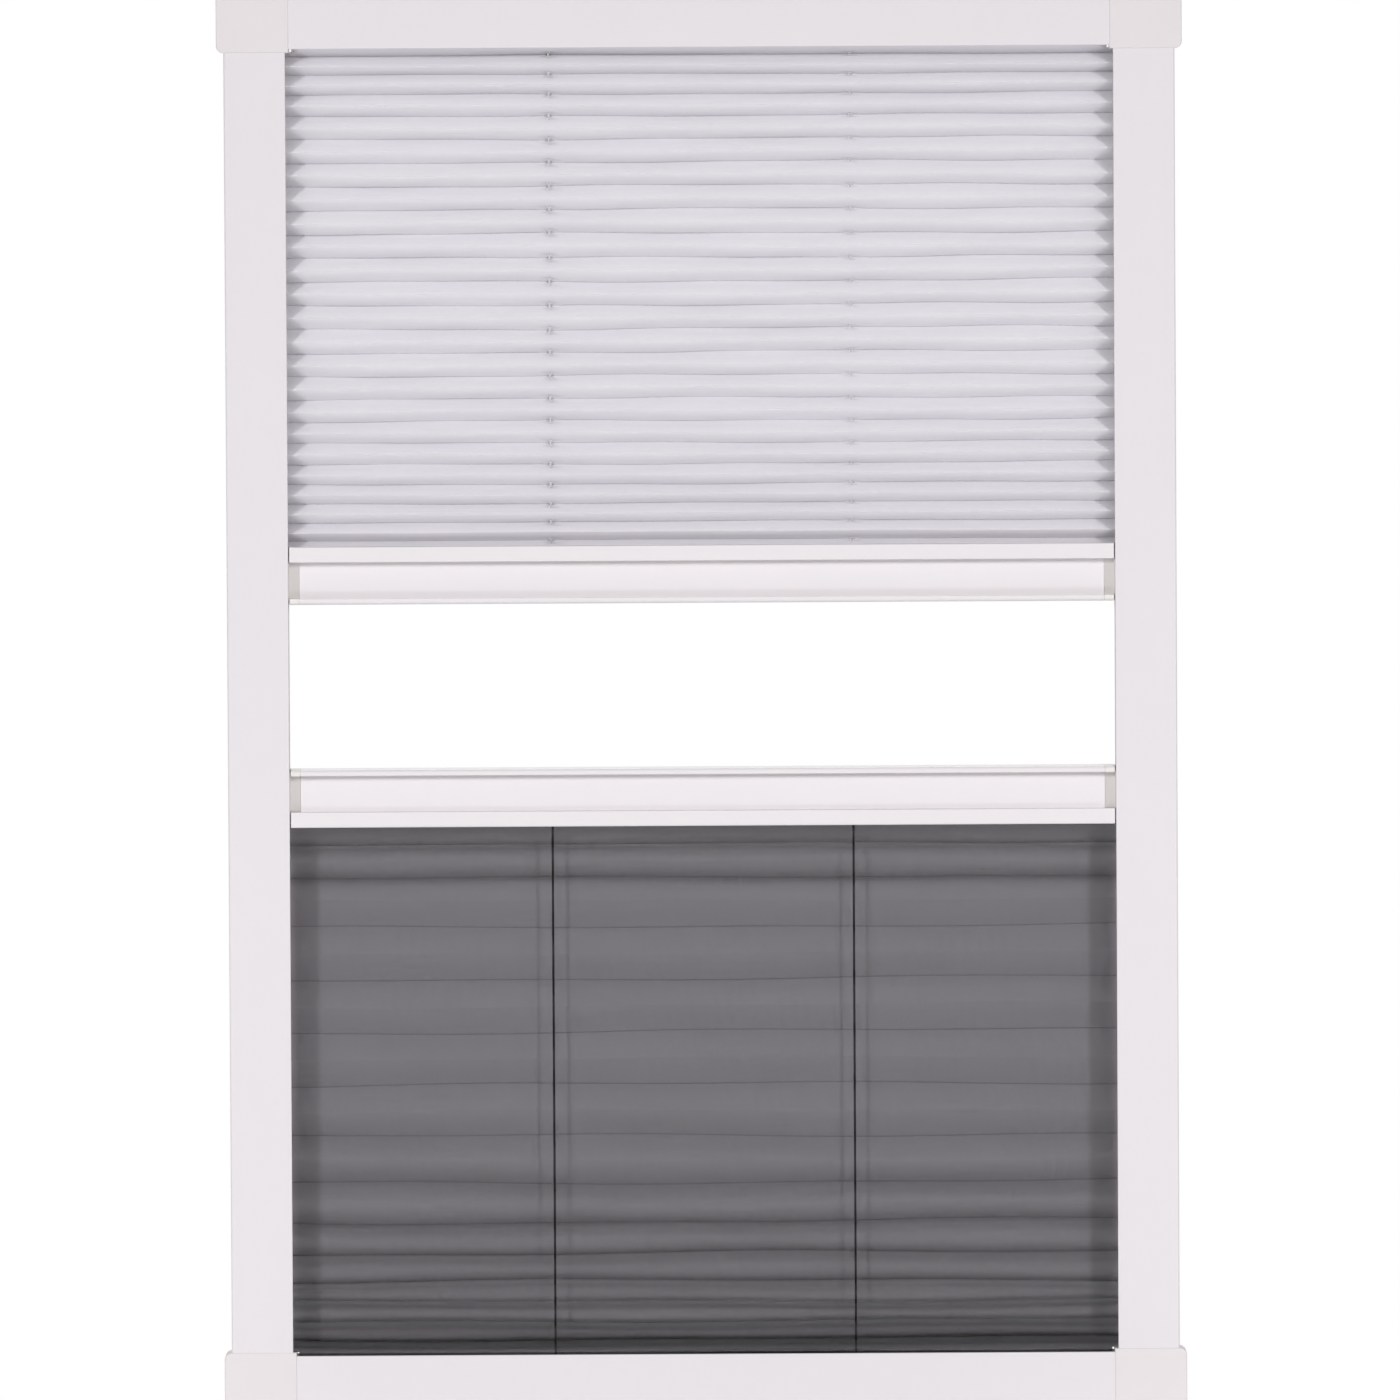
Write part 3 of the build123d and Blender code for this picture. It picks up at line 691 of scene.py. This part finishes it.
def taut_cords(name, places, ends, finish):
    """Upright round cords: a ring of cord_sides points at cord_rows heights, closed at both ends."""
    turn = np.linspace(0, 2 * np.pi, cord_sides + 1)[:-1]
    height = np.linspace(ends[0], ends[1], cord_rows)
    grid = np.arange(cord_rows * cord_sides).reshape(cord_rows, cord_sides)
    points, faces, flat = [], [], []
    for number, (x, y) in enumerate(places):
        ring = np.stack((x + cord_radius * np.cos(turn), y + cord_radius * np.sin(turn)), axis=1)
        tube = np.concatenate(
            (
                np.broadcast_to(ring[None], (cord_rows, cord_sides, 2)),
                np.broadcast_to(height[:, None, None], (cord_rows, cord_sides, 1)),
            ),
            axis=2,
        )
        index = grid + number * grid.size
        after = np.roll(index, -1, axis=1)
        walls = np.stack((index[:-1], after[:-1], after[1:], index[1:]), axis=2).reshape(-1, 4)
        faces += walls.tolist() + [index[0, ::-1].tolist(), index[-1].tolist()]
        points.append(tube.reshape(-1, 3))
        share = np.stack(np.broadcast_arrays(turn[None] / (2 * np.pi), height[:, None]), axis=2)
        flat.append(share.reshape(-1, 2))
    points, flat = np.concatenate(points), np.concatenate(flat)
    return new_piece(name, points, faces, finish, smooth=True, flat_map=flat)


def cord_pair(half_x, depths):
    """The left and the right place of a pair of cords, with the depth of each."""
    return (-half_x, depths[0]), (half_x, depths[1])


white_braid = braid("white_cord", cord_white_shaded, cord_white_groove_shade_and_flow)
black_braid = braid("black_cord", cord_black, cord_black_groove_shade_and_flow)
cord_runs = (
    ("blind_pleat_cords", "blind_cords", "blind_handle", white_braid, "white_cord",
     cord_pair(cord_x, blind_cord_depths), cord_end_z[1], blind_bottom),
    ("blind_rail_cords", "blind_side_cords", "blind_handle", white_braid, "white_cord",
     cord_pair(side_cord_x, blind_cord_depths[::-1]), anchor_z[0], blind_handle_foot),
    ("mesh_pleat_cords", "mesh_cords", "mesh_handle", black_braid, "black_cord",
     cord_pair(cord_x, mesh_cord_depths), cord_end_z[0], mesh_top),
    ("mesh_rail_cords", "mesh_side_cords", "mesh_handle", black_braid, "black_cord",
     cord_pair(side_cord_x, mesh_cord_depths[::-1]), anchor_z[1], mesh_handle_head),
)
for name, node, handle, finish, slot, places, frame_z, handle_z in cord_runs:
    cords = taut_cords(name, places, sorted((frame_z, handle_z)), finish)
    hang_between(cords)
    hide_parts(node)
# In the handle runs the darker colour serves as a random flow tone of the moulded plastic.
dress(
    ("blind_handle_cords",),
    moulded_plastic("white_cord_run", cord_white_shaded, cord_white_groove_shade_and_flow, 0.6, 0.0004),
)
dress(
    ("mesh_handle_cords",),
    moulded_plastic("black_cord_run", cord_black, cord_black_groove_shade_and_flow, 0.6, 0.0004),
)


# Studio: a pale floor under the frame and white all round, with a white sheet close behind the window
# that only shows through the gauze. A large far lamp and a small low one stand on the left and the right,
# and a wide one behind lights the back and the tops.

paper_white = (0.90, 0.90, 0.90)
window_white = (0.90, 0.845, 0.920)
lamp_turn = 34.5
lamp_rise = 14.5
lamp_distance = 24.0
lamp_power = 1915.0
lamp_size = (2.1, 4.8)
low_lamp_away = (1.05, -1.30, -0.56)
low_lamp_power = 2.5
low_lamp_size = (0.5, 0.2)
back_lamp_away = (0.0, 16.0, 12.0)
back_lamp_power = 1150.0
back_lamp_size = (6.0, 4.0)
floor_glow = 0.40
fill_light = 0.26
window_height = 0.601
floor_half = 4.0
floor_z = -0.0005
sheet_half = 0.36
sheet_y = 0.0185
sheet_z = (0.03, 1.17)


def plane_piece(name, corners, finish):
    """A flat four-cornered sheet of the studio."""
    new_piece(name, np.array(corners, float), [(0, 1, 2, 3)], finish)


def seen_white(finish):
    """One for rays that see the background directly, in a gloss or through a clear piece, else nought."""
    path = put(finish, "LightPath", {}, {})
    direct = put(
        finish, "Math", {"operation": "MAXIMUM"},
        {0: path.outputs["Is Camera Ray"], 1: path.outputs["Is Glossy Ray"]},
    )
    return put(
        finish, "Math", {"operation": "MAXIMUM"},
        {0: direct.outputs[0], 1: path.outputs["Is Transmission Ray"]},
    ).outputs[0]


def floor_paper(name):
    """Pale paper near the frame, where its shadow lies, fading to plain white further away.

    What sees the paper directly also sees it glow, so that it looks white where no shadow lies.
    """
    finish, skin = blank_finish(name)
    skin.inputs["Base Color"].default_value = (*paper_white, 1)
    skin.inputs["Roughness"].default_value = 0.9
    place = put(finish, "TexCoord", {}, {}).outputs["Object"]
    shifted = put(
        finish, "Mapping", {}, {"Vector": place, "Location": (0.0, 0.55, 0.0), "Scale": (1.3, 2.0, 1.0)},
    )
    reach = put(finish, "VectorMath", {"operation": "LENGTH"}, {0: shifted.outputs["Vector"]})
    fade = put(
        finish, "MapRange", {"interpolation_type": "SMOOTHSTEP"},
        {"Value": reach.outputs["Value"], "From Min": 0.5, "From Max": 0.95},
    )
    white = put(finish, "Emission", {}, {"Strength": 1.0})
    seen = seen_white(finish)
    glow = put(finish, "Math", {"operation": "MULTIPLY"}, {0: seen, 1: floor_glow})
    drive(finish, skin.inputs["Emission Color"], (1, 1, 1, 1))
    drive(finish, skin.inputs["Emission Strength"], glow.outputs[0])
    plain = put(finish, "Math", {"operation": "MULTIPLY"}, {0: fade.outputs["Result"], 1: seen})
    mixed = put(
        finish, "MixShader", {},
        {0: plain.outputs[0], 1: skin.outputs["BSDF"], 2: white.outputs["Emission"]},
    )
    drive(finish, finish.node_tree.nodes["Material Output"].inputs["Surface"], mixed.outputs["Shader"])
    return finish


def backing_paper(name):
    """Paper that shows only behind a see-through piece, and only from the front.

    It is clear to every other ray: one that comes straight from the camera, from a lamp or from behind.
    """
    finish, skin = blank_finish(name)
    skin.inputs["Base Color"].default_value = (*window_white, 1)
    skin.inputs["Roughness"].default_value = 0.9
    skin.inputs["Specular IOR Level"].default_value = 0.0
    path = put(finish, "LightPath", {}, {})
    side = put(finish, "NewGeometry", {}, {})
    through = put(
        finish, "Math", {"operation": "GREATER_THAN"}, {0: path.outputs["Transparent Depth"], 1: 0.5},
    )
    front = put(finish, "Math", {"operation": "SUBTRACT"}, {0: 1.0, 1: side.outputs["Backfacing"]})
    seen = put(
        finish, "Math", {"operation": "MULTIPLY"},
        {0: through.outputs[0], 1: path.outputs["Is Camera Ray"]},
    )
    shown = put(finish, "Math", {"operation": "MULTIPLY"}, {0: seen.outputs[0], 1: front.outputs[0]})
    clear = put(finish, "BsdfTransparent", {}, {})
    mixed = put(
        finish, "MixShader", {},
        {0: shown.outputs[0], 1: clear.outputs["BSDF"], 2: skin.outputs["BSDF"]},
    )
    drive(finish, finish.node_tree.nodes["Material Output"].inputs["Surface"], mixed.outputs["Shader"])
    return finish


plane_piece(
    "studio_floor",
    [(x * floor_half, y * floor_half, floor_z) for x, y in ((-1, -1), (1, -1), (1, 1), (-1, 1))],
    floor_paper("floor_paper"),
)
plane_piece(
    "window_paper",
    [(x * sheet_half, sheet_y, sheet_z[end]) for x, end in ((-1, 0), (1, 0), (1, 1), (-1, 1))],
    backing_paper("window_paper"),
)

studio = bpy.data.worlds.new("studio_white")
studio.use_nodes = True
bpy.context.scene.world = studio
sky = studio.node_tree.nodes["Background"]
level = put(
    studio, "MapRange", {}, {"Value": seen_white(studio), "To Min": fill_light, "To Max": 1.0},
)
drive(studio, sky.inputs["Strength"], level.outputs["Result"])
sky.inputs["Color"].default_value = (1, 1, 1, 1)


def soft_lamp(name, away, size, power):
    """A flat lamp that faces the middle of the window from the given way off."""
    lamp = bpy.data.lights.new(name, "AREA")
    lamp.shape = "RECTANGLE"
    lamp.size, lamp.size_y = size
    lamp.energy = power
    holder = bpy.data.objects.new(name, lamp)
    holder.location = Vector((0, 0, window_height)) + away
    holder.rotation_mode = "QUATERNION"
    holder.rotation_quaternion = (-away).to_track_quat("-Z", "Y")
    holder.visible_camera = False
    bpy.context.scene.collection.objects.link(holder)


turn, rise = np.radians(lamp_turn), np.radians(lamp_rise)
for side, side_name in ((-1, "left"), (1, "right")):
    away = Vector((side * np.sin(turn) * np.cos(rise), -np.cos(turn) * np.cos(rise), np.sin(rise)))
    soft_lamp(f"{side_name}_lamp", away * lamp_distance, lamp_size, lamp_power)
    low_away = Vector(low_lamp_away) * Vector((side, 1, 1))
    soft_lamp(f"{side_name}_low_lamp", low_away, low_lamp_size, low_lamp_power)
soft_lamp("back_lamp", Vector(back_lamp_away), back_lamp_size, back_lamp_power)


# Camera: 16 m in front of the window, tilted 3 degrees down and rolled by a third of a degree.
# The long lens takes in 1.16 m across at the front of the frame.

film_width = 36.0
view_distance = 16.0
view_height = 1.440
view_pitch = -3.0
view_yaw = 0.007
view_roll = -0.312
view_width = 1.160
camera = bpy.data.cameras.new("front_camera")
camera.sensor_width = film_width
camera.lens = film_width * view_distance / view_width
viewer = bpy.data.objects.new("front_camera", camera)
viewer.location = (0, cad_box[0][1] - view_distance, view_height)
viewer.rotation_mode = "QUATERNION"
viewer.rotation_quaternion = (
    Matrix.Rotation(np.radians(view_yaw), 3, "Z")
    @ Matrix.Rotation(np.radians(90 + view_pitch), 3, "X")
    @ Matrix.Rotation(np.radians(view_roll), 3, "Z")
).to_quaternion()
bpy.context.scene.collection.objects.link(viewer)
bpy.context.scene.camera = viewer
bpy.context.scene.view_settings.view_transform = "Standard"
